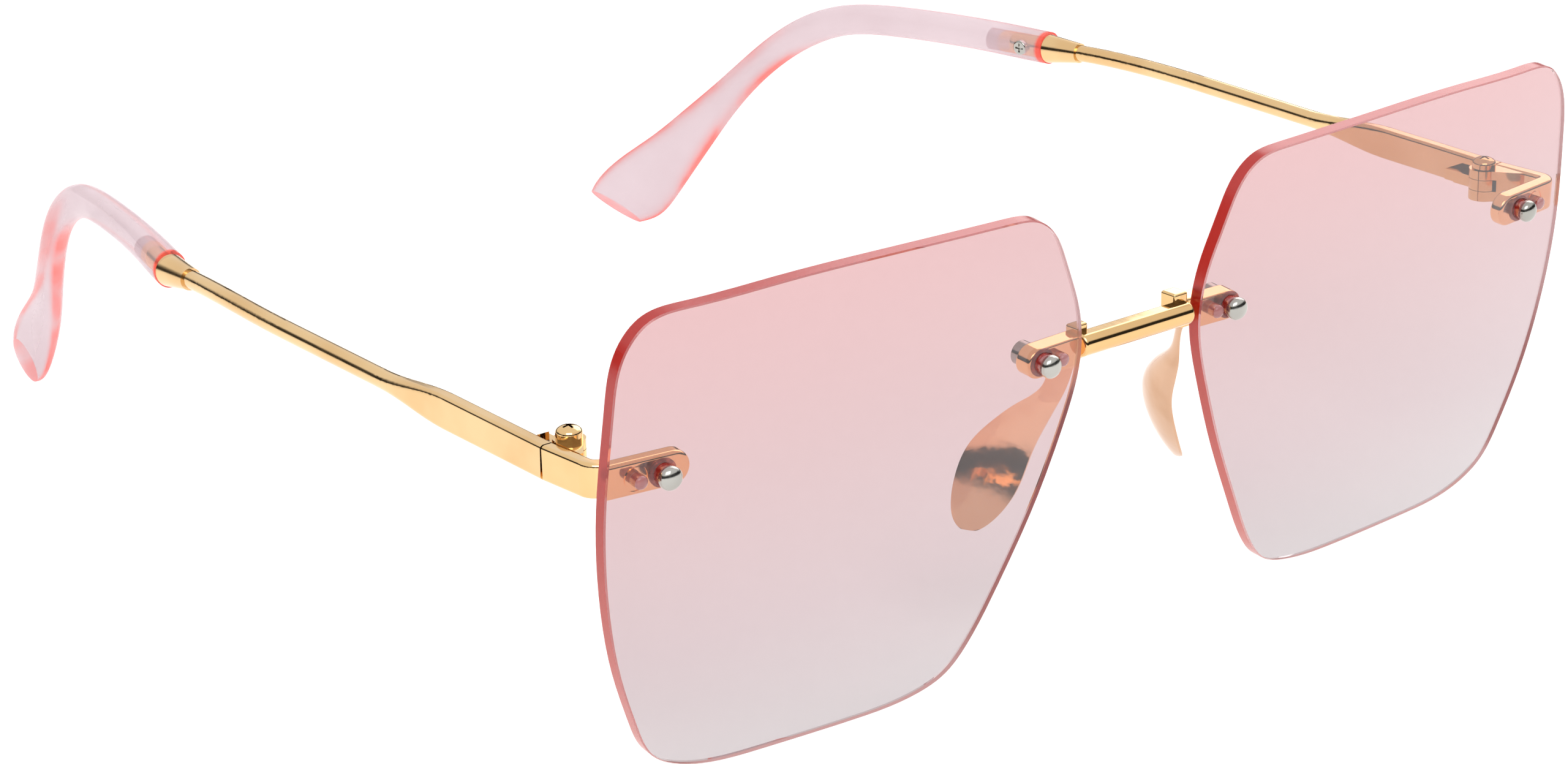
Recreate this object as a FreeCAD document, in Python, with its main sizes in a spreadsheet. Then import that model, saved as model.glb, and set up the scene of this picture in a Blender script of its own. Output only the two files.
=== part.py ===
"""Rimless oversized cat eye sunglasses, modelled as they rest on a table.

Frame: X to the wearer's left, Y from the lenses towards the ear tips, Z up, millimetres.
The origin is on the table, below the middle of the whole object. Most pieces come in pairs:
side -1 is the wearer's right and side +1 the wearer's left.

Local frames carry the pieces:
  lens frame     origin in the middle of a lens front face, x along the lens, y to its back
  hinge frame    origin on the hinge axis at the bar's mid height, square to the object
  temple frame   the hinge frame turned by the temple's toe-in, so y runs along the temple
  ear frame      origin where the plastic ear tip starts, y along the straight part of the tip
"""
import FreeCAD, Part
import math
import os

import Sketcher
from FreeCAD import Placement, Rotation, Vector

SIDES = {"right": -1, "left": 1}
X_AXIS = Vector(1, 0, 0)
Y_AXIS = Vector(0, 1, 0)
Z_AXIS = Vector(0, 0, 1)

# Driving dimensions. Lengths are in millimetres and angles in degrees.
DIMENSIONS = {
    # where the three frames stand
    "lens_spacing_half": 41.7,
    "lens_height": 26.88,
    "lens_front": -77.97,
    "lens_wrap": 2.6,
    "lens_tilt": 7.1,
    "hinge_offset": 66.15,
    "hinge_setback": 9.7,
    "hinge_height": 35.58,
    "temple_toe_in": 0.4,
    "temple_rise": 1.2,
    "ear_toe_in": 13.9,
    # lens and its two mounts
    "lens_radius": 350.0,
    "lens_bow": 1.6,
    "lens_blank_half": 6.0,
    "lens_thickness": 1.65,
    "lens_bevel": 0.15,
    "outer_mount_reach": 20.45,
    "outer_mount_rise": 8.6,
    "outer_plug_reach": 23.5,
    "outer_tab_end": 1.45,
    "inner_mount_reach": -28.15,
    "inner_mount_rise": 8.85,
    "inner_plug_reach": -30.45,
    "inner_tab_end": 0.1,
    "inner_tab_drop": 0.2,
    "inner_tab_overlap": 0.5,
    "stamp_radius": 1.3,
    "stamp_width": 0.18,
    "stamp_depth": 0.1,
    "bush_radius": 1.05,
    "bush_collar_radius": 1.18,
    "bush_collar": 0.35,
    "bush_flange_radius": 1.55,
    "bush_flange": 0.15,
    "screw_radius": 0.7,
    "screw_head_radius": 1.28,
    "screw_head_rim": 0.15,
    "screw_head_dome": 0.85,
    "bore_clearance": 0.03,
    "nut_radius": 1.35,
    "outer_nut_height": 0.85,
    "inner_nut_height": 1.35,
    "nut_cap": 0.3,
    "plug_radius": 0.72,
    "plug_dome": 0.4,
    "pin_radius": 0.4,
    "pin_length": 1.2,
    # gold bars
    "bar_height": 3.75,
    "bar_thickness": 1.7,
    "bar_round": 0.45,
    "inner_tab_height": 3.4,
    "inner_tab_thickness": 2.1,
    "bend_radius": 1.3,
    "seam_half_gap": 0.14,
    # bridge
    "bridge_height": 2.4,
    "bridge_depth": 2.3,
    "bridge_reach": 7.95,
    "bridge_rise": 9.05,
    "bridge_setback": -1.45,
    "bridge_round": 0.35,
    "bridge_shoulder": 0.4,
    "root_start": 6.3,
    "root_end": 8.35,
    "root_top": 11.2,
    "root_bottom": 7.3,
    "root_front": -1.0,
    "root_back": 1.25,
    "root_round": 0.3,
    # hinge, heights measured from the bar's mid height
    "eye_radius": 1.7,
    "hinge_pin_radius": 0.6,
    "hinge_pin_clearance": 0.03,
    "fork_bottom": -1.8,
    "fork_top": 1.85,
    "fork_reach": 4.3,
    "fork_nose": 0.35,
    "slot_bottom": -0.6,
    "slot_height": 1.4,
    "slot_reach": 2.1,
    "knuckle_gap": 0.06,
    "block_start": 2.4,
    "block_end": 5.2,
    "block_width": 1.1,
    "block_bottom": -1.3,
    "block_top": 2.0,
    "block_rear_top": 0.8,
    "hinge_head_radius": 1.38,
    "hinge_head_height": 0.6,
    "hinge_head_dome": 0.75,
    "hinge_cross": 1.4,
    "hinge_cross_width": 0.3,
    # temple
    "bar_offset": 2.65,
    "taper_start": 17.0,
    "taper_end": 29.5,
    "wire_radius": 1.05,
    "wire_bend_start": 48.0,
    "wire_insert": 0.5,
    "ring_offset": 66.6,
    "ring_setback": 84.3,
    "ring_height": 36.15,
    "ferrule_length": 5.2,
    "ferrule_toe_in": 5.5,
    "ferrule_fall": 4.0,
    "ferrule_front_radius": 1.28,
    "ferrule_rear_radius": 1.85,
    "tenon_radius": 1.3,
    "tenon_root": 0.5,
    "tenon_length": 6.4,
    "tenon_round": 0.6,
    "ring_gap": 0.06,
    "socket_radius": 1.42,
    "socket_depth": 9.2,
    # ear tip screw
    "tip_screw_reach": 3.6,
    "tip_screw_radius": 0.5,
    "tip_screw_head_radius": 0.95,
    "tip_screw_head": 0.6,
    "tip_screw_round": 0.2,
    "tip_screw_seat": 1.35,
    "tip_screw_cross": 1.2,
    "tip_screw_cross_depth": 0.24,
    "tip_screw_cross_width": 0.26,
    # nose pad
    "pad_thickness": 0.85,
    "pad_edge": 0.3,
    "pad_bow": 0.75,
    "pad_width": 7.0,
}

BEND_STEPS = 8  # sections along the bend of an endpiece
TAPER_PARTS = (0.15, 0.35, 0.5, 0.65, 0.85, 1.0)  # where the sections of a bar's taper stand
LEAST_FLAT = 0.02  # half length of the shortest straight side of a rounded section
CUT_PAST = 1.0  # how far a cutting tool runs past what it cuts

# Outline of the wearer's left lens in the lens frame, (outward, up), through its corners
# and the middle of each flank: top edge, outer side, bottom edge, then the inner side.
LENS_OUTLINE = [
    (-22.0, 26.05), (-8.0, 26.45), (7.0, 26.45), (18.0, 26.05), (23.0, 25.3), (25.6, 22.6),
    (26.9, 16.5), (27.5, 6.0), (26.6, -5.0), (24.7, -13.2), (22.3, -19.6), (20.2, -23.4),
    (16.6, -25.6), (6.0, -26.85), (-6.0, -27.0), (-14.2, -26.5), (-18.0, -25.1),
    (-20.6, -22.3), (-24.0, -16.2), (-27.9, -8.1), (-31.3, 0.8), (-33.1, 8.2), (-32.4, 14.2),
    (-30.3, 19.5), (-28.3, 23.4), (-25.6, 25.5),
]

# Ear tip: distance along the ear frame, height of the centre line, its outward drift, half
# height of the section, half thickness of the section, and how far the section leans back
# from square to the centre line, in degrees.
EAR_STATIONS = [
    (0.0, 0.1, 0.0, 2.1, 2.0, 0),
    (5.0, 0.2, 0.0, 2.15, 1.9, 0),
    (13.0, 0.3, 0.0, 2.12, 1.7, 0),
    (24.6, -0.1, 0.2, 2.08, 1.6, 0),
    (36.1, -2.1, 0.5, 2.08, 1.6, 0),
    (44.8, -6.9, 0.5, 2.1, 1.6, 0),
    (51.4, -12.7, 0.0, 2.2, 1.6, 0),
    (57.2, -18.8, -0.7, 2.95, 1.6, 0),
    (61.8, -23.8, -1.2, 3.8, 1.6, 2),
    (66.1, -28.0, -1.2, 4.7, 1.55, 8),
    (70.0, -31.4, -1.0, 5.35, 1.5, 20),
    (73.9, -34.6, -0.9, 4.7, 0.9, 32),
]

# Nose pad of the wearer's left side, from its arm to its lower end, in object coordinates
# measured from the middle between the lens centres: height, then (x, y) of the front edge
# and (x, y) of the rear edge.
PAD_STATIONS = [
    (7.0, (8.3, -0.2), (10.3, 1.2)),
    (5.4, (8.4, 0.4), (10.4, 2.0)),
    (3.6, (8.8, 0.9), (10.6, 3.2)),
    (1.8, (9.4, 1.6), (11.0, 5.6)),
    (-0.6, (10.0, 2.7), (11.7, 8.4)),
    (-3.7, (10.7, 3.9), (13.2, 10.8)),
    (-7.3, (12.0, 4.5), (14.8, 11.4)),
    (-10.0, (13.6, 5.4), (16.0, 10.7)),
    (-11.6, (15.0, 6.5), (16.5, 9.5)),
    (-12.1, (15.6, 7.2), (16.4, 8.7)),
]

doc = FreeCAD.newDocument("CatEyeSunglasses")
sheet = doc.addObject("Spreadsheet::Sheet", "Dimensions")
for row, (alias, value) in enumerate(DIMENSIONS.items(), start=1):
    sheet.set(f"A{row}", alias)
    sheet.set(f"B{row}", str(value))
    sheet.setAlias(f"B{row}", alias)
doc.recompute()

nodes = []


def dim(alias):
    """The value of one cell of the sheet."""
    return float(sheet.get(alias))


def bind(feature, prop, formula):
    """Bind a property to a formula of sheet aliases, each written with an @ before it."""
    feature.setExpression(prop, formula.replace("@", "Dimensions."))


def node(feature, label, placement=None):
    """Register a finished piece under the name of its file."""
    feature.Label = label
    if placement is not None:
        feature.Placement = placement
    nodes.append(feature)
    return feature


# --- local frames -----------------------------------------------------------------------

def lens_frame(side):
    rotation = Rotation(X_AXIS, dim("lens_tilt")) * Rotation(Z_AXIS, side * dim("lens_wrap"))
    origin = Vector(side * dim("lens_spacing_half"), dim("lens_front"), dim("lens_height"))
    return Placement(origin, rotation)


def bowl_centre():
    """Centre of the lens's round front face, in the lens frame."""
    return Vector(0, dim("lens_radius") - dim("lens_bow"), 0)


def mount_in_lens(side, where):
    """A mount's frame within the lens frame: on the front face, y along the face's normal."""
    reach, rise = side * dim(f"{where}_mount_reach"), dim(f"{where}_mount_rise")
    centre = bowl_centre()
    depth = centre.y - math.sqrt(dim("lens_radius") ** 2 - reach ** 2 - rise ** 2)
    spot = Vector(reach, depth, rise)
    return Placement(spot, Rotation(Y_AXIS, centre - spot))


def mount_frame(side, where):
    return lens_frame(side).multiply(mount_in_lens(side, where))


def plug_spot(side, where):
    """Where the plug's axis meets the front face, in the mount frame."""
    return Vector(side * (dim(f"{where}_plug_reach") - dim(f"{where}_mount_reach")), 0, 0)


def hinge_frame(side):
    origin = Vector(
        side * dim("hinge_offset"),
        dim("lens_front") + dim("hinge_setback"),
        dim("hinge_height"),
    )
    return Placement(origin, Rotation())


def temple_frame(side):
    return Placement(hinge_frame(side).Base, Rotation(Z_AXIS, side * dim("temple_toe_in")))


def bar_frame(side):
    """The temple frame pitched up along the gently rising bar."""
    pitch = Placement(Vector(), Rotation(X_AXIS, dim("temple_rise")))
    return temple_frame(side).multiply(pitch)


def ear_frame(side):
    ring = Vector(
        side * dim("ring_offset"),
        dim("lens_front") + dim("ring_setback"),
        dim("ring_height"),
    )
    return Placement(ring, Rotation(Z_AXIS, side * dim("ear_toe_in")))


def ferrule_frame(side):
    """Origin on the ring, y along the cone that leads into the ear tip."""
    turn = Rotation(Z_AXIS, side * dim("ferrule_toe_in")) * Rotation(X_AXIS, -dim("ferrule_fall"))
    return Placement(ear_frame(side).Base, turn)


# --- building blocks ---------------------------------------------------------------------

def cylinder(name, radius, height, base, direction=Y_AXIS):
    """A Part::Cylinder whose radius and height are formulas of the sheet."""
    feature = doc.addObject("Part::Cylinder", name)
    bind(feature, "Radius", radius)
    bind(feature, "Height", height)
    feature.Placement = Placement(base, Rotation(Z_AXIS, direction))
    return feature


def dome(name, radius, height, base, direction):
    """A half ellipsoid standing on a flat round face."""
    feature = doc.addObject("Part::Ellipsoid", name)
    bind(feature, "Radius1", height)
    bind(feature, "Radius2", radius)
    feature.Angle1 = 0
    feature.Angle2 = 90
    feature.Placement = Placement(base, Rotation(Z_AXIS, direction))
    return feature


def sphere(name, radius, centre):
    feature = doc.addObject("Part::Sphere", name)
    bind(feature, "Radius", radius)
    feature.Placement = Placement(centre, Rotation())
    return feature


def box(name, length, width, height, corner):
    """A Part::Box whose sizes are formulas of the sheet."""
    feature = doc.addObject("Part::Box", name)
    bind(feature, "Length", length)
    bind(feature, "Width", width)
    bind(feature, "Height", height)
    feature.Placement = Placement(corner, Rotation())
    return feature


def fuse(name, features):
    feature = doc.addObject("Part::MultiFuse", name)
    feature.Shapes = features
    return feature


def cut(name, base, tool):
    feature = doc.addObject("Part::Cut", name)
    feature.Base = base
    feature.Tool = tool
    return feature


def solid(label, shape, placement):
    """A Part::Feature for a swept or lofted piece, which no parametric feature suits."""
    feature = doc.addObject("Part::Feature", label)
    feature.Shape = shape
    return node(feature, label, placement)


def plane_of(body, role):
    return next(item for item in body.Origin.OriginFeatures if item.Role == role)


def sketch_on(body, name, role):
    sketch = body.newObject("Sketcher::SketchObject", name)
    sketch.AttachmentSupport = [(plane_of(body, role), "")]
    sketch.MapMode = "FlatFace"
    return sketch


def rounded_bar_section(centre, across, up, width, height, radius):
    """A rectangle with rounded corners, drawn about centre on the unit vectors across, up."""
    half_w, half_h = width / 2, height / 2
    radius = min(radius, half_w - LEAST_FLAT, half_h - LEAST_FLAT)
    flat_w, flat_h = half_w - radius, half_h - radius
    diagonal = radius * math.sqrt(0.5)
    edges = []
    ring = [(1, 1), (-1, 1), (-1, -1), (1, -1)]

    def at(x, y):
        return centre + across * x + up * y

    for index, (sx, sy) in enumerate(ring):
        # corner arc, then the straight run to the next corner
        on_side = at(sx * half_w, sy * flat_h)
        on_top = at(sx * flat_w, sy * half_h)
        middle = at(sx * (flat_w + diagonal), sy * (flat_h + diagonal))
        first, last = (on_side, on_top) if sx == sy else (on_top, on_side)
        edges.append(Part.Arc(first, middle, last).toShape())
        nx, ny = ring[(index + 1) % 4]
        if nx == ny:
            start_of_next = at(nx * half_w, ny * flat_h)
        else:
            start_of_next = at(nx * flat_w, ny * half_h)
        edges.append(Part.LineSegment(last, start_of_next).toShape())
    return Part.Wire(edges)


def ellipse_section(centre, up, across, half_up, half_across):
    curve = Part.Ellipse(
        centre + up * half_up, centre + across * half_across, centre
    )
    return Part.Wire([curve.toShape()])


def loft(sections):
    return Part.makeLoft(sections, True, False)


# --- lenses ------------------------------------------------------------------------------

def make_lens(name, side):
    body = doc.addObject("PartDesign::Body", f"lens_outline_body_{name}")
    outline = sketch_on(body, f"lens_outline_{name}", "XZ_Plane")
    curve = Part.BSplineCurve()
    points = [Vector(side * u, v, 0) for u, v in LENS_OUTLINE]
    curve.interpolate(points, PeriodicFlag=True)
    # four spans of the closed curve make a rim of four faces
    first, span = curve.FirstParameter, curve.LastParameter - curve.FirstParameter
    for quarter in range(4):
        arc = curve.copy()
        arc.segment(first + span * quarter / 4, first + span * (quarter + 1) / 4)
        outline.addGeometry(arc)
    pad = body.newObject("PartDesign::Pad", f"lens_block_{name}")
    pad.Profile = outline
    pad.Midplane = True
    bind(pad, "Length", "2 * @lens_blank_half")
    body.Tip = pad
    shell = cut(
        f"lens_shell_{name}",
        sphere(f"lens_front_{name}", "@lens_radius", bowl_centre()),
        sphere(f"lens_back_{name}", "@lens_radius - @lens_thickness", bowl_centre()),
    )
    blank = doc.addObject("Part::Common", f"lens_blank_{name}")
    blank.Base = body
    blank.Tool = shell
    doc.recompute()

    # the short seams across the rim are no corners and stay as they are
    bevel = doc.addObject("Part::Chamfer", f"lens_bevel_{name}")
    bevel.Base = blank
    size = dim("lens_bevel")
    bevel.Edges = [
        (i, size, size) for i, edge in enumerate(blank.Shape.Edges, start=1)
        if edge.Length > 2 * dim("lens_thickness")
    ]
    holes = []
    for where in ("outer", "inner"):
        place = mount_in_lens(side, where)
        for use, radius, spot in (
            ("bush", "@bush_radius + @bore_clearance", Vector()),
            ("plug", "@plug_radius + @bore_clearance", plug_spot(side, where)),
        ):
            hole = cylinder(f"{use}_hole_{name}_{where}", radius, "2 * @lens_blank_half",
                            spot - Y_AXIS * dim("lens_blank_half"))
            hole.Placement = place.multiply(hole.Placement)
            holes.append(hole)
    lens = cut(f"lens_drilled_{name}", bevel, fuse(f"lens_holes_{name}", holes))
    doc.recompute()
    if lens.Shape.Volume >= bevel.Shape.Volume:
        raise RuntimeError("the lens bores cut nothing")
    node(lens, f"lens_{name}", lens_frame(side))


# --- the hardware of one lens mount -------------------------------------------------------

def tab_thickness(where):
    return "bar_thickness" if where == "outer" else "inner_tab_thickness"


def make_mount(name, side, where):
    """Bush, screw, cap nut and anti-rotation plug at the inner or outer end of a lens."""
    frame = mount_frame(side, where)
    tag = f"{name}_{where}"
    tab = f"@{tab_thickness(where)}"
    centre = Vector()
    plug_at = plug_spot(side, where)
    lens_back = centre + Y_AXIS * dim("lens_thickness")
    tab_front = dim("lens_thickness") + dim("bush_flange")
    tab_back = tab_front + dim(tab_thickness(where))
    collar_front = centre - Y_AXIS * dim("bush_collar")
    rim_front = collar_front - Y_AXIS * dim("screw_head_rim")
    nut_seat = centre + Y_AXIS * tab_back
    nut_side = f"@{where}_nut_height - @nut_cap"
    nut_shoulder = nut_seat + Y_AXIS * (dim(f"{where}_nut_height") - dim("nut_cap"))

    collar = cylinder(f"collar_{tag}", "@bush_collar_radius", "@bush_collar", collar_front)
    barrel = cylinder(f"barrel_{tag}", "@bush_radius", "@lens_thickness", centre)
    flange = cylinder(f"flange_{tag}", "@bush_flange_radius", "@bush_flange", lens_back)
    bore = cylinder(f"bush_bore_{tag}", "@screw_radius",
                    "@bush_collar + @lens_thickness + @bush_flange", collar_front)
    blank = fuse(f"bush_blank_{tag}", [collar, barrel, flange])
    node(cut(f"bush_{tag}", blank, bore), f"lens_bush_{tag}", frame)

    head = dome(f"head_{tag}", "@screw_head_radius", "@screw_head_dome", rim_front, -Y_AXIS)
    rim = cylinder(f"rim_{tag}", "@screw_head_radius", "@screw_head_rim", rim_front)
    shank = cylinder(f"shank_{tag}", "@screw_radius",
                     f"@bush_collar + @lens_thickness + @bush_flange + {nut_side} + {tab}",
                     collar_front)
    node(fuse(f"screw_{tag}", [head, rim, shank]), f"lens_screw_{tag}", frame)

    nut_body = cylinder(f"nut_body_{tag}", "@nut_radius", nut_side, nut_seat)
    nut_cap = dome(f"nut_cap_{tag}", "@nut_radius", "@nut_cap", nut_shoulder, Y_AXIS)
    thread = cylinder(f"nut_bore_{tag}", "@screw_radius", nut_side, nut_seat)
    nut = cut(f"nut_{tag}", fuse(f"nut_blank_{tag}", [nut_body, nut_cap]), thread)
    node(nut, f"cap_nut_{tag}", frame)

    stem = cylinder(f"plug_stem_{tag}", "@plug_radius", "@lens_thickness + @bush_flange", plug_at)
    tip = dome(f"plug_tip_{tag}", "@plug_radius", "@plug_dome", plug_at, -Y_AXIS)
    socket = cylinder(f"plug_socket_{tag}", "@pin_radius", "@pin_length",
                      plug_at + Y_AXIS * (tab_front - dim("pin_length")))
    plug = cut(f"plug_{tag}", fuse(f"plug_blank_{tag}", [stem, tip]), socket)
    node(plug, f"lens_plug_{tag}", frame)


def tab_pin_and_bore(side, where):
    """Anti-rotation pin and screw bore of a tab, as shapes in the mount frame."""
    front = dim("lens_thickness") + dim("bush_flange")
    thickness = dim(tab_thickness(where))
    pin = Part.makeCylinder(
        dim("pin_radius"), dim("pin_length") + thickness / 2,
        plug_spot(side, where) + Y_AXIS * (front - dim("pin_length")), Y_AXIS,
    )
    bore = Part.makeCylinder(dim("screw_radius"), front + thickness + CUT_PAST, Vector(), Y_AXIS)
    return pin, bore


def stamped_ring(side):
    """Shallow round groove about the pin of an outer tab, as a shape in the mount frame."""
    front = dim("lens_thickness") + dim("bush_flange")
    base = plug_spot(side, "outer") + Y_AXIS * front
    outside, inside = (
        Part.makeCylinder(dim("stamp_radius") + offset, dim("stamp_depth"), base, Y_AXIS)
        for offset in (dim("stamp_width") / 2, -dim("stamp_width") / 2)
    )
    return outside.cut(inside)


def round_end(section, centre, across, up, radius):
    """Half turn of a bar section about its own short axis, which rounds the bar's end."""
    upper_half = Part.Face(section).common(
        Part.Face(Part.makePolygon([
            centre - across * radius,
            centre + across * radius,
            centre + across * radius + up * (2 * radius),
            centre - across * radius + up * (2 * radius),
            centre - across * radius,
        ]))
    )
    return upper_half.revolve(centre, across, 360)


# --- endpieces ---------------------------------------------------------------------------

def make_endpiece(name, side):
    """Tab behind the lens, bent back into the short bar that carries the hinge."""
    frame = mount_frame(side, "outer")
    middle = dim("lens_thickness") + dim("bush_flange") + dim("bar_thickness") / 2
    seam = hinge_frame(side).multVec(Vector(side * dim("bar_offset"), -dim("seam_half_gap"), 0))
    tab_start = frame.multVec(Vector(
        -side * dim("outer_tab_end"), middle, 0,
    ))
    along_tab = frame.Rotation.multVec(X_AXIS * side)
    # the corner is where the tab's centre line reaches the bar's plane
    corner = tab_start + along_tab * ((seam.x - tab_start.x) / along_tab.x)
    along_bar = (seam - corner).normalize()
    turn = along_tab.getAngle(along_bar)
    trim = dim("bend_radius") * math.tan(turn / 2)
    bend_in = corner - along_tab * trim
    bend_centre = bend_in + (along_bar - along_tab * math.cos(turn)).normalize() * dim("bend_radius")
    hinge_line = along_tab.cross(along_bar)
    tab_up = frame.Rotation.multVec(Z_AXIS)

    def section(centre, along, up):
        across = along.cross(up).normalize()
        return rounded_bar_section(
            centre, across, across.cross(along), dim("bar_thickness"), dim("bar_height"),
            dim("bar_round"),
        )

    # the bend also turns the section from the tilt of the lens to upright
    bend = []
    for step in range(BEND_STEPS + 1):
        part = step / BEND_STEPS
        swing = Rotation(hinge_line, math.degrees(turn) * part)
        centre = bend_centre + swing.multVec(bend_in - bend_centre)
        bend.append(section(centre, swing.multVec(along_tab), tab_up * (1 - part) + Z_AXIS * part))
    bend_out = bend_centre + Rotation(hinge_line, math.degrees(turn)).multVec(bend_in - bend_centre)
    tab_section = section(tab_start, along_tab, tab_up)
    tab = Part.Face(tab_section).extrude(bend_in - tab_start)
    bar = Part.Face(bend[-1]).extrude(seam - bend_out)
    across = along_tab.cross(tab_up).normalize()
    end = round_end(tab_section, tab_start, across, tab_up, dim("bar_height"))
    body = tab.fuse(loft(bend)).fuse(bar).fuse(end)
    pin, bore = tab_pin_and_bore(side, "outer")
    ring = stamped_ring(side)
    for shape in (pin, bore, ring):
        shape.Placement = frame
    body = body.cut(ring).fuse(pin).cut(bore)
    solid(f"endpiece_{name}", body.removeSplitter(), Placement())


# --- bridge ------------------------------------------------------------------------------

def make_bridge():
    """Bar between the lenses, a root block at each end of it and a tab behind each lens."""
    origin = Vector(0, dim("lens_front"), dim("lens_height"))
    half_depth, half_height = dim("bridge_depth") / 2, dim("bridge_height") / 2
    centre = Vector(0, dim("bridge_setback"), dim("bridge_rise"))
    reach = dim("bridge_reach")
    back = centre.y + half_depth
    shoulder = centre.y - dim("bridge_shoulder")
    low, high = centre.z - half_height, centre.z + half_height
    section = Part.Wire([
        Part.LineSegment(Vector(-reach, shoulder, low), Vector(-reach, back, low)).toShape(),
        Part.LineSegment(Vector(-reach, back, low), Vector(-reach, back, high)).toShape(),
        Part.LineSegment(Vector(-reach, back, high), Vector(-reach, shoulder, high)).toShape(),
        Part.Arc(
            Vector(-reach, shoulder, high),
            Vector(-reach, centre.y - half_depth, centre.z),
            Vector(-reach, shoulder, low),
        ).toShape(),
    ])
    body = Part.Face(section).extrude(X_AXIS * (2 * reach))
    body = body.makeFillet(dim("bridge_round"), body.Edges)
    body.translate(origin)
    thickness, height = dim("inner_tab_thickness"), dim("inner_tab_height")
    middle = dim("lens_thickness") + dim("bush_flange") + thickness / 2
    for side in SIDES.values():
        frame = mount_frame(side, "inner")
        start = Vector(side * dim("inner_tab_end"), middle, -dim("inner_tab_drop"))
        length = (dim("lens_spacing_half") + dim("inner_mount_reach") - dim("root_end")
                  + dim("inner_tab_overlap"))
        profile = rounded_bar_section(start, Y_AXIS, Z_AXIS, thickness, height, dim("root_round"))
        tab = Part.Face(profile).extrude(X_AXIS * (-side * length))
        tab = tab.fuse(round_end(profile, start, Y_AXIS, Z_AXIS, height))
        pin, bore = tab_pin_and_bore(side, "inner")
        tab = tab.fuse(pin).cut(bore)
        tab.Placement = frame
        inner_end = dim("root_start") if side > 0 else -dim("root_end")
        root = Part.makeBox(
            dim("root_end") - dim("root_start"),
            dim("root_back") - dim("root_front"),
            dim("root_top") - dim("root_bottom"),
            origin + Vector(inner_end, dim("root_front"), dim("root_bottom")),
        )
        root = root.makeFillet(dim("root_round"), root.Edges)
        body = body.fuse(root).fuse(tab)
    solid("bridge", body.removeSplitter(), Placement())


# --- nose pads ---------------------------------------------------------------------------

def make_nose_pad(name, side):
    """Spoon-shaped metal pad: a bowed leaf that narrows into its arm at the bridge."""
    origin = Vector(0, dim("lens_front"), dim("lens_height"))
    sections = []
    for height, front, rear in PAD_STATIONS:
        start = origin + Vector(side * front[0], front[1], height)
        end = origin + Vector(side * rear[0], rear[1], height)
        chord = (end - start).normalize()
        nose_side = Vector(-side * abs(chord.y), side * chord.x, 0)
        length = (end - start).Length
        bow = dim("pad_bow") * min(1.0, length / dim("pad_width"))
        edge = nose_side * (dim("pad_edge") / 2)
        middle = (start + end) / 2 + nose_side * bow
        thick = nose_side * (dim("pad_thickness") / 2)
        sections.append(Part.Wire([
            Part.Arc(start + edge, middle + thick, end + edge).toShape(),
            Part.LineSegment(end + edge, end - edge).toShape(),
            Part.Arc(end - edge, middle - thick, start - edge).toShape(),
            Part.LineSegment(start - edge, start + edge).toShape(),
        ]))
    solid(f"nose_pad_{name}", loft(sections), Placement())


# --- hinges ------------------------------------------------------------------------------

def bar_side_box(name, side, inner, outer, y_range, z_range):
    """A box between two distances from the hinge axis towards the bar, mirrored with side."""
    low_x = inner if side > 0 else -outer
    return box(name, f"{outer - inner:.4f}", f"{y_range[1] - y_range[0]:.4f}",
               f"{z_range[1] - z_range[0]:.4f}", Vector(low_x, y_range[0], z_range[0]))


def wedge(name, side, front, rear, y_range, bottom, tops):
    """A Part::Wedge along y, between its (inner, outer) distances from the hinge axis."""
    feature = doc.addObject("Part::Wedge", name)
    (low, high), (low_2, high_2) = (sorted((side * a, side * b)) for a, b in (front, rear))
    feature.Xmin, feature.Xmax = low, high
    feature.X2min, feature.X2max = low_2, high_2
    feature.Ymin, feature.Ymax = y_range
    feature.Zmin, feature.Zmax = bottom, tops[0]
    feature.Z2min, feature.Z2max = bottom, tops[1]
    return feature


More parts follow.
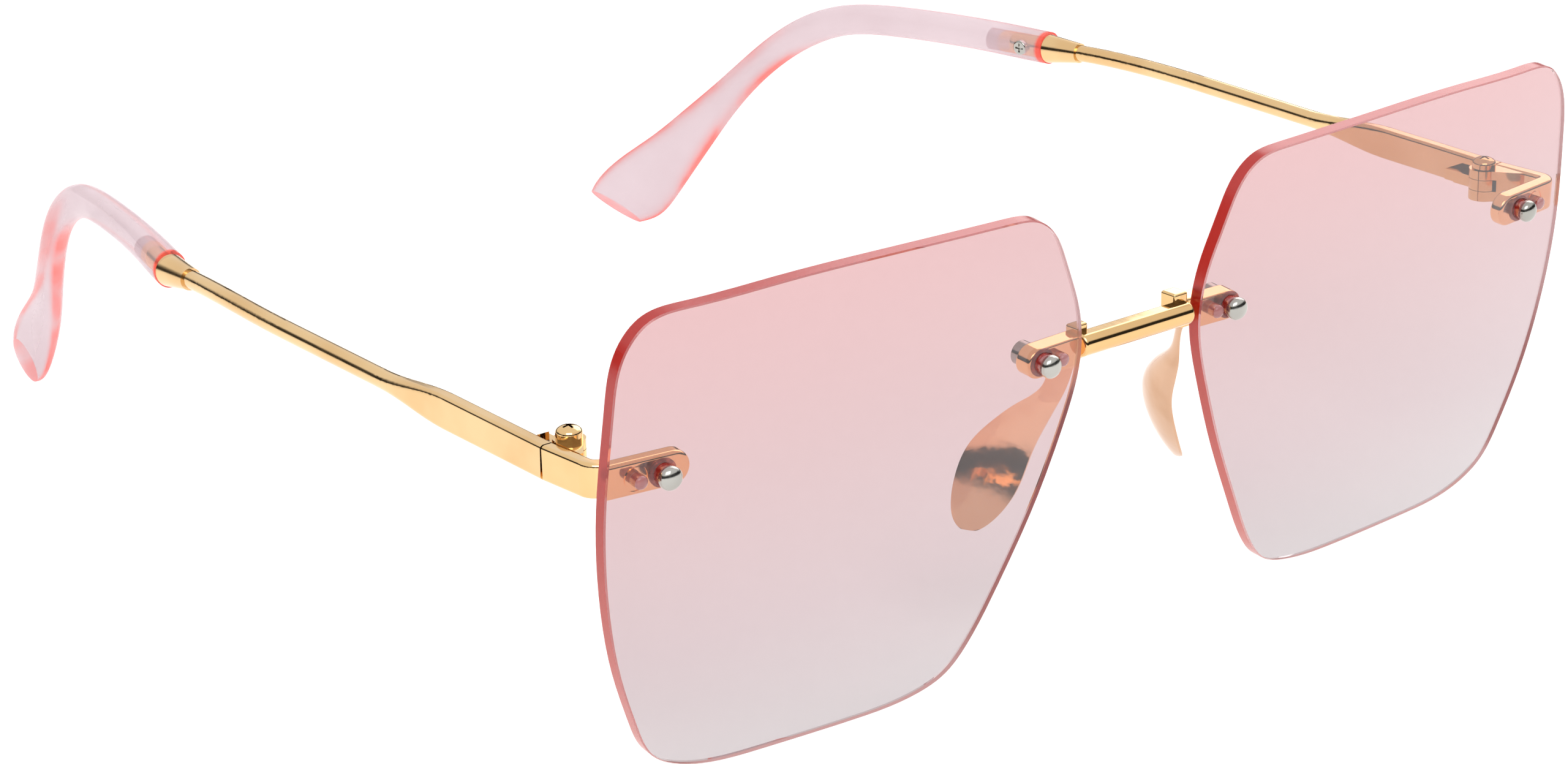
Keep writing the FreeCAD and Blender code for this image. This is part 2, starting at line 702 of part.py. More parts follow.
def make_hinge(name, side):
    """Fork on the endpiece, knuckle on the temple and the screw they turn on."""
    low, top = dim("fork_bottom"), dim("fork_top")
    slot = (dim("slot_bottom"), dim("slot_bottom") + dim("slot_height"))
    eye = dim("eye_radius")
    bar_face = dim("bar_offset") - dim("bar_thickness") / 2

    fork_eye = cylinder(f"fork_eye_{name}", "@eye_radius", "@fork_top - @fork_bottom",
                        Vector(0, 0, low), Z_AXIS)
    # the gusset narrows from the full eye to a nose that lies along the bar
    gusset = wedge(f"gusset_{name}", side, (bar_face - dim("fork_nose"), bar_face),
                   (-eye, bar_face), (-dim("fork_reach"), 0), low, (top, top))
    window = bar_side_box(f"window_{name}", side, -eye - CUT_PAST, bar_face + CUT_PAST,
                          (-dim("slot_reach"), eye + CUT_PAST), slot)
    fork_bore = cylinder(f"fork_bore_{name}", "@hinge_pin_radius", "@fork_top - @fork_bottom",
                         Vector(0, 0, low), Z_AXIS)
    fork = cut(f"fork_{name}", fuse(f"fork_blank_{name}", [fork_eye, gusset]),
               fuse(f"fork_openings_{name}", [window, fork_bore]))
    node(fork, f"hinge_fork_{name}", hinge_frame(side))

    gap = dim("knuckle_gap")
    leaf = (slot[0] + gap, slot[1] - gap)
    block_face = bar_face - dim("block_width")
    knuckle_eye = cylinder(f"knuckle_eye_{name}", "@eye_radius", "@slot_height - 2 * @knuckle_gap",
                           Vector(0, 0, leaf[0]), Z_AXIS)
    strip = bar_side_box(f"strip_{name}", side, -eye / 2, bar_face,
                         (0, dim("block_end")), leaf)
    # the block on the bar slopes down towards the ear tip
    block = wedge(f"block_{name}", side, (block_face, bar_face), (block_face, bar_face),
                  (dim("block_start"), dim("block_end")), dim("block_bottom"),
                  (dim("block_top"), dim("block_rear_top")))
    knuckle_bore = cylinder(f"knuckle_bore_{name}", "@hinge_pin_radius + @hinge_pin_clearance",
                            "@slot_height", Vector(0, 0, slot[0]), Z_AXIS)
    knuckle = cut(f"knuckle_{name}",
                  fuse(f"knuckle_blank_{name}", [knuckle_eye, strip, block]), knuckle_bore)
    node(knuckle, f"hinge_knuckle_{name}", temple_frame(side))

    shank = cylinder(f"hinge_shank_{name}", "@hinge_pin_radius", "@fork_top - @fork_bottom",
                     Vector(0, 0, low), Z_AXIS)
    head = cylinder(f"hinge_head_{name}", "@hinge_head_radius", "@hinge_head_height",
                    Vector(0, 0, top), Z_AXIS)
    shoulder = Vector(0, 0, top + dim("hinge_head_height"))
    crown = dome(f"hinge_crown_{name}", "@hinge_head_radius", "@hinge_head_dome",
                 shoulder, Z_AXIS)
    cross = []
    for index, (length, width) in enumerate((
        ("hinge_cross", "hinge_cross_width"), ("hinge_cross_width", "hinge_cross"),
    )):
        corner = shoulder - Vector(dim(length) / 2, dim(width) / 2, 0)
        cross.append(box(f"hinge_cross_{name}_{index}", f"@{length}", f"@{width}",
                         f"@hinge_head_dome + {CUT_PAST}", corner))
    screw = cut(f"hinge_screw_body_{name}",
                fuse(f"hinge_screw_blank_{name}", [shank, head, crown]),
                fuse(f"hinge_cross_{name}", cross))
    node(screw, f"hinge_screw_{name}", hinge_frame(side))


# --- temples -----------------------------------------------------------------------------

def make_temple(name, side):
    """Flat bar that tapers to a wire, then a cone and a tenon inside the ear tip."""
    frame = bar_frame(side)
    along = frame.Rotation.multVec(Y_AXIS)
    across = frame.Rotation.multVec(X_AXIS)
    up = frame.Rotation.multVec(Z_AXIS)
    bar = (dim("bar_thickness"), dim("bar_height"), dim("bar_round"))
    wire = dim("wire_radius")
    start, end = dim("taper_start"), dim("taper_end")

    def centre_at(y):
        return frame.multVec(Vector(side * dim("bar_offset"), y, 0))

    def section(y, width, height, radius):
        return rounded_bar_section(centre_at(y), across, up, width, height, radius)

    flat = Part.Face(section(dim("seam_half_gap"), *bar)).extrude(
        along * (start - dim("seam_half_gap"))
    )
    taper = [section(start, *bar)]
    for part in TAPER_PARTS:
        blend = (1 - math.cos(math.pi * part)) / 2
        taper.append(section(
            start + (end - start) * part,
            bar[0] + (2 * wire - bar[0]) * blend,
            bar[1] + (2 * wire - bar[1]) * blend,
            bar[2] + (wire - bar[2]) * blend,
        ))

    # the wire leaves the taper straight and curves gently in to the cone
    cone_frame = ferrule_frame(side)
    cone_end = cone_frame.multVec(Vector(0, -dim("ferrule_length"), 0))
    cone_along = cone_frame.Rotation.multVec(Y_AXIS)
    bend_start = centre_at(dim("wire_bend_start"))
    bend = Part.BSplineCurve()
    bend.interpolate(
        Points=[bend_start, cone_end + cone_along * dim("wire_insert")],
        InitialTangent=along, FinalTangent=cone_along,
    )
    path = Part.Wire([
        Part.LineSegment(centre_at(end), bend_start).toShape(),
        bend.toShape(),
    ])
    round_section = Part.Wire([Part.Circle(centre_at(end), along, wire).toShape()])
    run = path.makePipeShell([round_section], True, False)

    front_ring = Part.Circle(cone_end, cone_along, dim("ferrule_front_radius")).toShape()
    rear_ring = Part.Circle(cone_frame.Base, cone_along, dim("ferrule_rear_radius")).toShape()
    cone = loft([Part.Wire([front_ring]), Part.Wire([rear_ring])])
    ear = ear_frame(side)
    tenon = Part.makeCylinder(
        dim("tenon_radius"), dim("tenon_length"), Y_AXIS * -dim("tenon_root"), Y_AXIS
    )
    tenon = tenon.makeFillet(dim("tenon_round"), [tenon.Edges[0]])
    screw_hole = Part.makeCylinder(
        dim("tip_screw_radius"), dim("tenon_radius") + CUT_PAST,
        Vector(0, dim("tip_screw_reach"), 0), X_AXIS * -side,
    )
    tenon = tenon.cut(screw_hole)
    tenon.Placement = ear
    shape = flat.fuse(loft(taper)).fuse(run).fuse(cone).fuse(tenon).removeSplitter()
    solid(f"temple_{name}", shape, Placement())


# --- ear tips ----------------------------------------------------------------------------

def make_ear_tip(name, side):
    """Plastic tip: oval rod with a socket, hooked down into a flat rounded paddle."""
    centres = [Vector(side * out, y, z) for y, z, out, *_ in EAR_STATIONS]
    spine = Part.BSplineCurve()
    spine.interpolate(centres)
    ear = ear_frame(side)
    to_ring = ear.inverse().multiply(ferrule_frame(side)).Rotation
    sections = []
    for centre, (*_, half_up, half_across, lean) in zip(centres, EAR_STATIONS):
        along = Vector(*spine.tangent(spine.parameter(centre))[0])
        across = X_AXIS
        if not sections:
            # the open end is square to the cone it meets
            along = to_ring.multVec(Y_AXIS)
            across = to_ring.multVec(X_AXIS)
            centre = centre + along * dim("ring_gap")
        up = Rotation(across, -lean).multVec(across.cross(along).normalize())
        sections.append(ellipse_section(centre, up, across, half_up, half_across))
    rod = loft(sections)
    socket = Part.makeCylinder(
        dim("socket_radius"), dim("socket_depth") + CUT_PAST, Y_AXIS * -CUT_PAST, Y_AXIS
    )
    inward = X_AXIS * -side
    screw_at = Vector(0, dim("tip_screw_reach"), 0)
    seat = screw_at + inward * dim("tip_screw_seat")
    outside = EAR_STATIONS[0][4]
    hole = Part.makeCylinder(
        dim("tip_screw_radius") + dim("bore_clearance"), outside + CUT_PAST, screw_at, inward
    )
    counterbore = Part.makeCylinder(
        dim("tip_screw_head_radius") + dim("bore_clearance"), outside, seat, inward
    )
    solid(f"ear_tip_{name}", rod.cut(socket).cut(hole).cut(counterbore), ear)

    shank = Part.makeCylinder(
        dim("tip_screw_radius"), dim("tip_screw_seat") + dim("tip_screw_head") / 2,
        screw_at, inward,
    )
    head = Part.makeCylinder(dim("tip_screw_head_radius"), dim("tip_screw_head"), seat, inward)
    head = head.makeFillet(dim("tip_screw_round"), [head.Edges[0]])
    turn = Rotation(Z_AXIS, inward)
    length, width = dim("tip_screw_cross"), dim("tip_screw_cross_width")
    for size in ((length, width), (width, length)):
        slot = Part.makeBox(size[0], size[1], CUT_PAST)
        slot.Placement = Placement(
            seat + inward * (dim("tip_screw_head") - dim("tip_screw_cross_depth"))
            - turn.multVec(Vector(size[0] / 2, size[1] / 2, 0)),
            turn,
        )
        head = head.cut(slot)
    solid(f"ear_tip_screw_{name}", shank.fuse(head).removeSplitter(), ear)


# --- assembly ----------------------------------------------------------------------------

make_bridge()
for side_name, side_sign in SIDES.items():
    make_lens(side_name, side_sign)
    for mount in ("outer", "inner"):
        make_mount(side_name, side_sign, mount)
    make_endpiece(side_name, side_sign)
    make_nose_pad(side_name, side_sign)
    make_hinge(side_name, side_sign)
    make_temple(side_name, side_sign)
    make_ear_tip(side_name, side_sign)
doc.recompute()

for item in doc.Objects:
    if "Invalid" in item.State or "Error" in item.State:
        raise RuntimeError(f"{item.Name} failed to build: {item.State}")
for item in nodes:
    if item.Shape.isNull() or not item.Shape.isValid() or not item.Shape.Solids:
        raise RuntimeError(f"{item.Label} has no valid solid")

os.makedirs("parts", exist_ok=True)
for item in nodes:
    item.Shape.exportStep(f"parts/{item.Label}.step")
    bounds = item.Shape.BoundBox
    print(
        f"{item.Label:26s} {len(item.Shape.Solids)} solid {item.Shape.Volume:9.2f} mm3  "
        f"x {bounds.XMin:7.2f} {bounds.XMax:7.2f}  y {bounds.YMin:7.2f} {bounds.YMax:7.2f}  "
        f"z {bounds.ZMin:6.2f} {bounds.ZMax:6.2f}"
    )
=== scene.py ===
"""Rimless cat-eye sunglasses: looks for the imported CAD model, in metres, in the CAD's frame."""
import math

import bpy
from mathutils import Matrix, Vector


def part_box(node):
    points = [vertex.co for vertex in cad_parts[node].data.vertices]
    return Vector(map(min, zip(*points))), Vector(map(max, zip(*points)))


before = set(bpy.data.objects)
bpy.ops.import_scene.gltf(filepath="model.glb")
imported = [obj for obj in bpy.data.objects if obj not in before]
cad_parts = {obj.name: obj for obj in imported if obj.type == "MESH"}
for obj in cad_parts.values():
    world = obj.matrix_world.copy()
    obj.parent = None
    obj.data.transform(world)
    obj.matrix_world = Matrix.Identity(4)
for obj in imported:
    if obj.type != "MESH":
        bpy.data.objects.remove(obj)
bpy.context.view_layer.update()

SIDES = {"right": -1, "left": 1}
WHERE = ("outer", "inner")
WHITE = (1.0, 1.0, 1.0)
BLACK = (0.0, 0.0, 0.0)

# Shapes of the CAD model that the materials follow, in metres.
# A pair says where a tone begins to change and where the change ends.
LENS_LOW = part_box("lens_left")[0].z
LENS_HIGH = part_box("lens_left")[1].z
LENS_TILT = math.radians(7.1)
EAR_TOE_IN = math.radians(13.9)
TIP_MOUTH = Vector((0.0666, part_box("ear_tip_left")[0].y + 0.0005, 0.03615))
MOUTH_DEPTH = (0.0007, 0.0001)
SOCKET_WALL = (0.00152, 0.00146)  # distance from the socket's axis
SOCKET_END = (0.0135, 0.0128)
DROP_HEIGHT = (0.034, 0.026)
TAB_INNER_END = (0.0084, 0.0090)  # tabs behind the lenses: distance from the middle plane
TAB_OUTER_END = (0.0690, 0.0684)
TAB_BACK = (-0.0735, -0.0745)


# ---------------------------------------------------------------- node helpers

class Nodes:
    """A material's (or the world's) node tree with short calls to add and join nodes."""

    def __init__(self, owner):
        owner.use_nodes = True
        self.tree = owner.node_tree
        self.tree.nodes.clear()

    def add(self, kind, **settings):
        node = self.tree.nodes.new(kind)
        for name, value in settings.items():
            setattr(node, name, value)
        return node

    def set(self, socket, value):
        if isinstance(value, bpy.types.NodeSocket):
            self.tree.links.new(value, socket)
        else:
            socket.default_value = value

    def colour(self, socket, value):
        """As set, for a colour that may be three plain numbers."""
        self.set(socket, value if isinstance(value, bpy.types.NodeSocket) else (*value, 1.0))

    def math(self, operation, a, b=0.0):
        node = self.add("ShaderNodeMath", operation=operation)
        self.set(node.inputs[0], a)
        self.set(node.inputs[1], b)
        return node.outputs[0]

    def vector(self, operation, a, b):
        node = self.add("ShaderNodeVectorMath", operation=operation)
        self.set(node.inputs[0], a)
        node.inputs[1].default_value = b
        return node.outputs

    def span(self, value, low, high, to_low=0.0, to_high=1.0, smooth=True):
        """value from low..high to to_low..to_high, held at the ends."""
        node = self.add("ShaderNodeMapRange", clamp=True)
        node.interpolation_type = "SMOOTHSTEP" if smooth else "LINEAR"
        self.set(node.inputs["Value"], value)
        ends = {"From Min": low, "From Max": high, "To Min": to_low, "To Max": to_high}
        for name, number in ends.items():
            self.set(node.inputs[name], number)
        return node.outputs["Result"]

    def ramp(self, factor, stops):
        node = self.add("ShaderNodeValToRGB")
        elements = node.color_ramp.elements
        while len(elements) < len(stops):
            elements.new(0.5)
        for element, (place, colour) in zip(elements, stops):
            element.position = place
            element.color = (*colour, 1.0)
        self.set(node.inputs[0], factor)
        return node.outputs[0]

    def mix(self, factor, a, b):
        node = self.add("ShaderNodeMix", data_type="RGBA", blend_type="MIX")
        self.set(node.inputs["Factor"], factor)
        self.colour(node.inputs[6], a)
        self.colour(node.inputs[7], b)
        return node.outputs[2]

    def mix_shaders(self, factor, a, b):
        node = self.add("ShaderNodeMixShader")
        self.set(node.inputs[0], factor)
        self.set(node.inputs[1], a)
        self.set(node.inputs[2], b)
        return node.outputs[0]

    def place(self):
        """The point in the CAD frame and its x, y and z."""
        point = self.add("ShaderNodeTexCoord").outputs["Object"]
        apart = self.add("ShaderNodeSeparateXYZ")
        self.set(apart.inputs[0], point)
        return point, apart.outputs

    def normal(self):
        return self.add("ShaderNodeNewGeometry").outputs["Normal"]

    def noise(self, point, scale, detail=2.0, stretch=None):
        if stretch:
            mapping = self.add("ShaderNodeMapping")
            self.set(mapping.inputs["Vector"], point)
            mapping.inputs["Scale"].default_value = stretch
            point = mapping.outputs[0]
        node = self.add("ShaderNodeTexNoise")
        self.set(node.inputs["Vector"], point)
        node.inputs["Scale"].default_value = scale
        node.inputs["Detail"].default_value = detail
        return node.outputs["Fac"]

    def bump(self, height, distance):
        node = self.add("ShaderNodeBump")
        node.inputs["Distance"].default_value = distance
        self.set(node.inputs["Height"], height)
        return node.outputs[0]

    def principled(self, **values):
        """A Principled shader; sockets are named with _ for each space."""
        node = self.add("ShaderNodeBsdfPrincipled")
        for name, value in values.items():
            socket = node.inputs[name.replace("_", " ")]
            if isinstance(value, tuple) and len(value) == 3:
                value = (*value, 1.0)
            self.set(socket, value)
        return node.outputs[0]

    def transparent(self, tint):
        node = self.add("ShaderNodeBsdfTransparent")
        self.colour(node.inputs["Color"], tint)
        return node.outputs[0]

    def light_passes(self, shader, tint):
        """The shader as seen, but nearly clear for the light that falls through it."""
        path = self.add("ShaderNodeLightPath").outputs
        unseen = self.math("MAXIMUM", path["Is Shadow Ray"], path["Is Reflection Ray"])
        return self.mix_shaders(unseen, shader, self.transparent(tint))

    def finish(self, shader):
        out = self.add("ShaderNodeOutputMaterial")
        self.set(out.inputs["Surface"], shader)


def linear(r, g, b):
    """A screen colour, 0 to 255, as a linear one."""
    def one(c):
        c /= 255
        return c / 12.92 if c <= 0.04045 else ((c + 0.055) / 1.055) ** 2.4
    return one(r), one(g), one(b)


def grey(value):
    return value, value, value


# ---------------------------------------------------------------- materials

DRIFT = (0.35, 0.65)  # span of a slow noise between two tones
FINE = (0.3, 0.7)  # span of a fine noise between two roughnesses
ACRYLIC_IOR = 1.49
ACETATE_IOR = 1.47
THROUGH_LENS = (0.97, 0.94, 0.94)  # tint of the light that falls through
THROUGH_EAR_TIP = (0.97, 0.93, 0.94)


def metal(name, pale, deep, rough, tab_lit_tone=None):
    """Plated metal: a slow drift between two tones, fine polishing lines and a trace of waviness.

    tab_lit_tone is a lighter gold painted on the parts that stand close behind a lens: painted
    light, standing in for the brighter reflection they show."""
    material = bpy.data.materials.new(name)
    n = Nodes(material)
    point, (x, y, _) = n.place()
    drift = n.noise(point, 90.0, 3.0)
    lines = n.noise(point, 2400.0, 2.0, (1.0, 0.12, 1.0))
    tone = n.mix(n.span(drift, *DRIFT), pale, deep)
    # painted light: the tabs close behind the lenses get a lighter gold for their brighter
    # reflection
    if tab_lit_tone:
        outward = n.math("ABSOLUTE", x)
        along = n.math("MULTIPLY", n.span(outward, *TAB_INNER_END), n.span(outward, *TAB_OUTER_END))
        behind = n.math("MULTIPLY", along, n.span(y, *TAB_BACK))
        tone = n.mix(behind, tone, tab_lit_tone)
    wave = n.math("ADD", n.noise(point, 260.0, 1.0), n.math("MULTIPLY", lines, 0.06))
    n.finish(n.principled(
        Base_Color=tone,
        Metallic=1.0,
        Roughness=n.span(lines, *FINE, rough * 0.8, rough * 1.25),
        Normal=n.bump(wave, 0.00002),
    ))
    return material


def hammered_metal(name, pale, deep):
    """Rose gold with a finely hammered face, as on the nose pads."""
    material = bpy.data.materials.new(name)
    n = Nodes(material)
    point, _ = n.place()
    cells = n.add("ShaderNodeTexVoronoi", feature="SMOOTH_F1")
    n.set(cells.inputs["Vector"], point)
    cells.inputs["Scale"].default_value = 1100.0
    cells.inputs["Smoothness"].default_value = 0.6
    slow = n.noise(point, 160.0, 2.0)
    height = n.math("ADD", n.math("MULTIPLY", cells.outputs["Distance"], 0.1), slow)
    n.finish(n.principled(
        Base_Color=n.mix(n.span(slow, *DRIFT), pale, deep),
        Metallic=1.0,
        Roughness=n.span(slow, *FINE, 0.06, 0.12),
        Normal=n.bump(height, 0.00009),
    ))
    return material


def lens_axis(side):
    """The lens's own axis, square to its upright and to the line between its two bushes."""
    low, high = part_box(f"lens_bush_{side}_outer")
    inner_low, inner_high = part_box(f"lens_bush_{side}_inner")
    outer = (low + high) / 2
    inner = (inner_low + inner_high) / 2
    across = (outer - inner).normalized() * SIDES[side]
    up = Vector((0.0, -math.sin(LENS_TILT), math.cos(LENS_TILT)))
    return across.cross(up).normalized()


def lens_material(side):
    """Clear tinted plastic: pink above, nearly clear below, with saturated crimson edge walls."""
    material = bpy.data.materials.new(f"lens_tint_{side}")
    n = Nodes(material)
    point, (_, _, z) = n.place()
    height = n.span(z, LENS_LOW, LENS_HIGH, smooth=False)
    wobble = n.math("MULTIPLY", n.math("SUBTRACT", n.noise(point, 40.0), 0.5), 0.03)
    tint = n.ramp(n.math("ADD", height, wobble), [
        (0.0, linear(191, 186, 188)),
        (0.3, linear(194, 177, 180)),
        (0.62, linear(198, 171, 173)),
        (1.0, linear(206, 167, 168)),
    ])
    edge = n.ramp(height, [
        (0.0, linear(190, 88, 78)),
        (0.25, linear(176, 46, 34)),
        (0.6, linear(158, 18, 10)),
        (1.0, linear(156, 14, 10)),
    ])
    # the edge walls are where the surface looks away from the lens's axis
    facing = n.vector("DOT_PRODUCT", n.normal(), lens_axis(side))["Value"]
    wall = n.span(n.math("ABSOLUTE", facing), 0.8, 0.6)
    face = n.principled(
        Base_Color=tint,
        Roughness=n.span(n.noise(point, 900.0, 3.0), *FINE, 0.0, 0.012),
        IOR=ACRYLIC_IOR,
        Transmission_Weight=1.0,
    )
    band = n.principled(
        Base_Color=edge,
        Roughness=0.22,
        IOR=ACRYLIC_IOR,
        Transmission_Weight=0.25,
        Normal=n.bump(n.noise(point, 1500.0), 0.00001),
    )
    n.finish(n.light_passes(n.mix_shaders(wall, face, band), THROUGH_LENS))
    return material


def clear_plastic(name, colour, deep, rough, clear):
    """Small clear plastic pieces that have taken a rose colour."""
    material = bpy.data.materials.new(name)
    n = Nodes(material)
    point, _ = n.place()
    drift = n.noise(point, 500.0, 2.0)
    n.finish(n.principled(
        Base_Color=n.mix(n.span(drift, *DRIFT), colour, deep),
        Roughness=n.span(drift, *FINE, rough, rough * 1.6),
        IOR=ACRYLIC_IOR,
        Transmission_Weight=clear,
    ))
    return material


def ear_tip_material(side):
    """Translucent acetate: pale lavender pink, coral at its rims, in the drop and at its mouth."""
    material = bpy.data.materials.new(f"acetate_{side}")
    n = Nodes(material)
    point, (_, y, z) = n.place()
    # the coral goes by the surface's direction on the piece's own axes
    own = n.add("ShaderNodeVectorTransform", vector_type="NORMAL",
                convert_from="WORLD", convert_to="OBJECT")
    n.set(own.inputs[0], n.normal())
    normal = n.add("ShaderNodeSeparateXYZ")
    n.set(normal.inputs[0], own.outputs[0])
    sideways = n.math("ABSOLUTE", normal.outputs[0])
    drop = n.span(z, *DROP_HEIGHT)
    streak = n.span(n.noise(point, 130.0, 3.0, (1.0, 1.0, 0.3)), 0.36, 0.62, 0.25, 0.85)
    rim = n.math("MULTIPLY", n.math("MULTIPLY", n.span(sideways, 0.92, 0.42), drop), streak)
    line = n.math("MULTIPLY", n.span(sideways, 0.30, 0.02), 0.22)
    mouth = n.span(y, *(TIP_MOUTH.y + depth for depth in MOUTH_DEPTH))
    coral = n.math("MAXIMUM", n.math("MAXIMUM", line, rim), mouth)
    cloud = n.span(n.noise(point, 70.0, 3.0), *FINE)
    body = n.mix(cloud, linear(232, 220, 223), linear(227, 213, 216))
    # the wall of the socket takes the tone of the gold tenon in it
    sign = SIDES[side]
    from_mouth = n.vector("SUBTRACT", point, (sign * TIP_MOUTH.x, TIP_MOUTH.y, TIP_MOUTH.z))[0]
    axis = (-sign * math.sin(EAR_TOE_IN), math.cos(EAR_TOE_IN), 0.0)
    off_axis = n.vector("CROSS_PRODUCT", from_mouth, axis)[0]
    radius = n.add("ShaderNodeVectorMath", operation="LENGTH")
    n.set(radius.inputs[0], off_axis)
    wall = n.span(radius.outputs["Value"], *SOCKET_WALL)
    socket = n.math("MULTIPLY", wall, n.span(y, *SOCKET_END))
    body = n.mix(n.math("MULTIPLY", socket, 0.85), body, linear(255, 208, 168))
    tone = n.mix(coral, body, linear(250, 116, 104))
    milky = n.principled(
        Base_Color=tone,
        Roughness=n.span(n.noise(point, 800.0), *FINE, 0.08, 0.16),
        IOR=ACETATE_IOR,
        Normal=n.bump(n.noise(point, 180.0), 0.00003),
    )
    both = n.mix_shaders(n.span(coral, 0.0, 1.0, 0.3, 0.5), n.transparent(tone), milky)
    n.finish(n.light_passes(both, THROUGH_EAR_TIP))
    return material


# the last tone is painted light: a lighter gold on the tabs behind the lenses for their brighter
# reflection
gold = metal("gold_plate", linear(232, 196, 142), linear(224, 184, 128), rough=0.08,
             tab_lit_tone=linear(255, 206, 150))
satin_gold = metal("gold_satin", linear(230, 196, 146), linear(222, 184, 132), rough=0.15)
chrome = metal("chrome_plate", linear(182, 180, 174), linear(162, 160, 154), rough=0.16)
# painted light and shade: the near (right) pad takes a lighter, lit copy of the rose gold and the
# far (left) pad a darker, shaded copy
rose = {
    "right": hammered_metal("rose_gold_lit_right", linear(255, 206, 164), linear(248, 192, 148)),
    "left": hammered_metal("rose_gold_shaded_left", linear(206, 168, 140), linear(194, 152, 120)),
}
bush = clear_plastic("bush_plastic", linear(226, 150, 142), linear(206, 118, 112),
                     rough=0.08, clear=0.8)
plug = clear_plastic("plug_plastic", linear(206, 150, 150), linear(190, 126, 126),
                     rough=0.14, clear=0.35)


def dress(node, material):
    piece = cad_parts[node]
    piece.data.materials.clear()
    piece.data.materials.append(material)
    for polygon in piece.data.polygons:
        polygon.material_index = 0


for side in SIDES:
    dress(f"lens_{side}", lens_material(side))
    dress(f"nose_pad_{side}", rose[side])
    dress(f"ear_tip_{side}", ear_tip_material(side))
    dress(f"ear_tip_screw_{side}", chrome)
    dress(f"endpiece_{side}", gold)
    dress(f"hinge_fork_{side}", gold)
    dress(f"hinge_knuckle_{side}", gold)
    dress(f"hinge_screw_{side}", gold)
    dress(f"temple_{side}", satin_gold)
    for where in WHERE:
        dress(f"lens_bush_{side}_{where}", bush)
        dress(f"lens_plug_{side}_{where}", plug)
        dress(f"lens_screw_{side}_{where}", chrome)
        dress(f"cap_nut_{side}_{where}", chrome)
dress("bridge", gold)


# ---------------------------------------------------------------- floor, light and camera

FLOOR_HALF = 6.0
FLOOR_DROP = 0.00005  # keeps the floor clear of the lens bottoms
FLOOR_GLOW = 0.12
SCREEN_WAY = (0.627, 0.779)  # plan direction of the white screen behind the object
LIGHT_AIM = Vector((0, 0, 0.03))

# The camera, solved from the photograph.
CAMERA_PLACE = Vector((-0.28836, -0.37975, 0.18433))
CAMERA_TURN = (-38.817, 19.929, -1.137)  # degrees around, up and of roll
SENSOR_WIDTH = 36.0
FOCAL_LENGTH = 95.30
CAMERA_SHIFT = (-0.00497, -0.01852)


def make_floor():
    half = FLOOR_HALF
    corners = [(-half, -half, 0), (half, -half, 0), (half, half, 0), (-half, half, 0)]
    mesh = bpy.data.meshes.new("floor")
    mesh.from_pydata(corners, [], [(0, 1, 2, 3)])
    floor = bpy.data.objects.new("floor", mesh)
    bpy.context.scene.collection.objects.link(floor)
    material = bpy.data.materials.new("floor_paper")
    n = Nodes(material)
    point, _ = n.place()
    n.finish(n.principled(
        Base_Color=n.mix(n.noise(point, 300.0, 3.0), grey(0.93), grey(0.95)),
        Roughness=0.9,
        Specular_IOR_Level=0.0,
        Emission_Color=WHITE,
        Emission_Strength=FLOOR_GLOW,
    ))
    mesh.materials.append(material)
    floor.location.z = -FLOOR_DROP


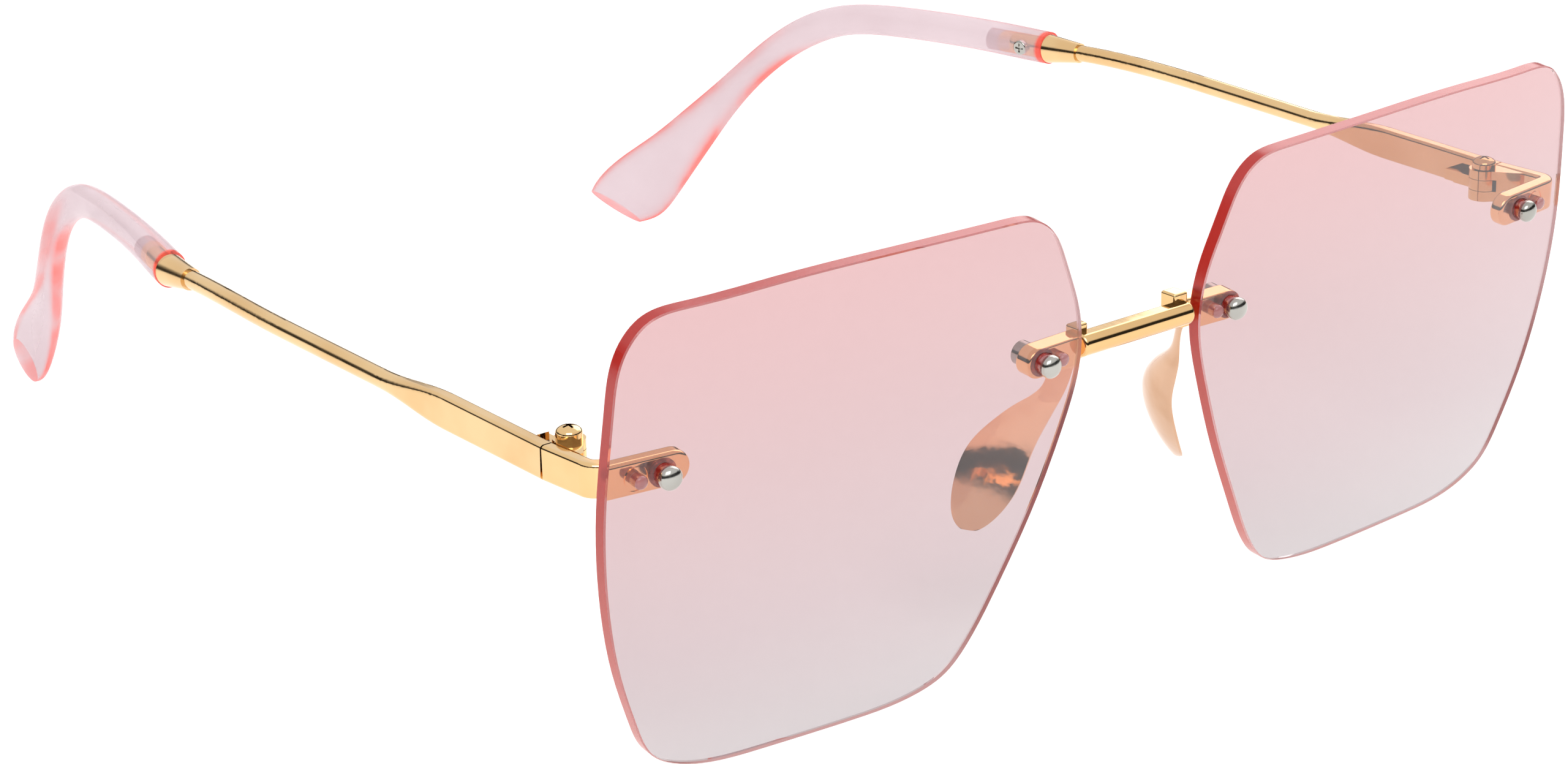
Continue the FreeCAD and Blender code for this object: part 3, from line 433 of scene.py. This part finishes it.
def make_world():
    """A white studio, dark low down, which polished metal shows as thin black lines."""
    world = bpy.data.worlds.new("studio")
    bpy.context.scene.world = world
    n = Nodes(world)
    direction = n.add("ShaderNodeTexCoord").outputs["Generated"]
    apart = n.add("ShaderNodeSeparateXYZ")
    n.set(apart.inputs[0], direction)
    x, y, z = apart.outputs
    # beyond the object's left rear stands a white screen with a dark band under it
    sky = n.ramp(n.math("MULTIPLY", n.math("ADD", z, 1.0), 0.5), [
        (0.0, grey(0.85)),
        (0.496, grey(0.85)),
        (0.502, grey(0.02)),
        (0.565, grey(0.02)),
        (0.60, grey(0.45)),
        (0.64, WHITE),
        (1.0, WHITE),
    ])
    # elsewhere the room is dark up to a third of the way up
    room = n.math("ADD", n.span(z, 0.0, 0.03, 1.0, 0.03), n.span(z, 0.30, 0.46))
    toward = n.math("ADD", n.math("MULTIPLY", x, SCREEN_WAY[0]),
                    n.math("MULTIPLY", y, SCREEN_WAY[1]))
    sky = n.mix(n.span(toward, 0.25, 0.55), n.mix(room, BLACK, WHITE), sky)
    # and it is plain white where it is seen directly or through something clear
    path = n.add("ShaderNodeLightPath").outputs
    direct = n.math("MAXIMUM", path["Is Camera Ray"], path["Is Transmission Ray"])
    background = n.add("ShaderNodeBackground")
    n.set(background.inputs["Color"], n.mix(direct, sky, WHITE))
    out = n.add("ShaderNodeOutputWorld")
    n.set(out.inputs["Surface"], background.outputs[0])


def area_light(name, place, size, power):
    lamp = bpy.data.lights.new(name, "AREA")
    lamp.shape = "RECTANGLE"
    lamp.size, lamp.size_y = size
    lamp.energy = power
    piece = bpy.data.objects.new(name, lamp)
    piece.location = place
    piece.rotation_euler = (LIGHT_AIM - Vector(place)).to_track_quat("-Z", "Y").to_euler()
    bpy.context.scene.collection.objects.link(piece)


def make_camera():
    """The photograph's view: from the wearer's right, a little above, with a long lens."""
    around, up, roll = (math.radians(angle) for angle in CAMERA_TURN)
    back = Vector((math.sin(around) * math.cos(up), -math.cos(around) * math.cos(up),
                   math.sin(up)))
    level = Vector((math.cos(around), math.sin(around), 0.0))
    above = back.cross(level)
    right = level * math.cos(roll) + above * math.sin(roll)
    top = above * math.cos(roll) - level * math.sin(roll)
    camera = bpy.data.cameras.new("camera")
    camera.sensor_width = SENSOR_WIDTH
    camera.lens = FOCAL_LENGTH
    camera.shift_x, camera.shift_y = CAMERA_SHIFT
    piece = bpy.data.objects.new("camera", camera)
    bpy.context.scene.collection.objects.link(piece)
    turn = Matrix((right, top, back)).transposed().to_4x4()
    piece.matrix_world = Matrix.Translation(CAMERA_PLACE) @ turn
    bpy.context.scene.camera = piece


make_camera()
make_floor()
make_world()
area_light("key", (-0.5, -0.7, 0.9), size=(0.9, 0.6), power=6.0)
area_light("fill", (0.8, 0.3, 0.6), size=(0.8, 0.8), power=4.0)

bpy.context.scene.view_settings.view_transform = "Standard"
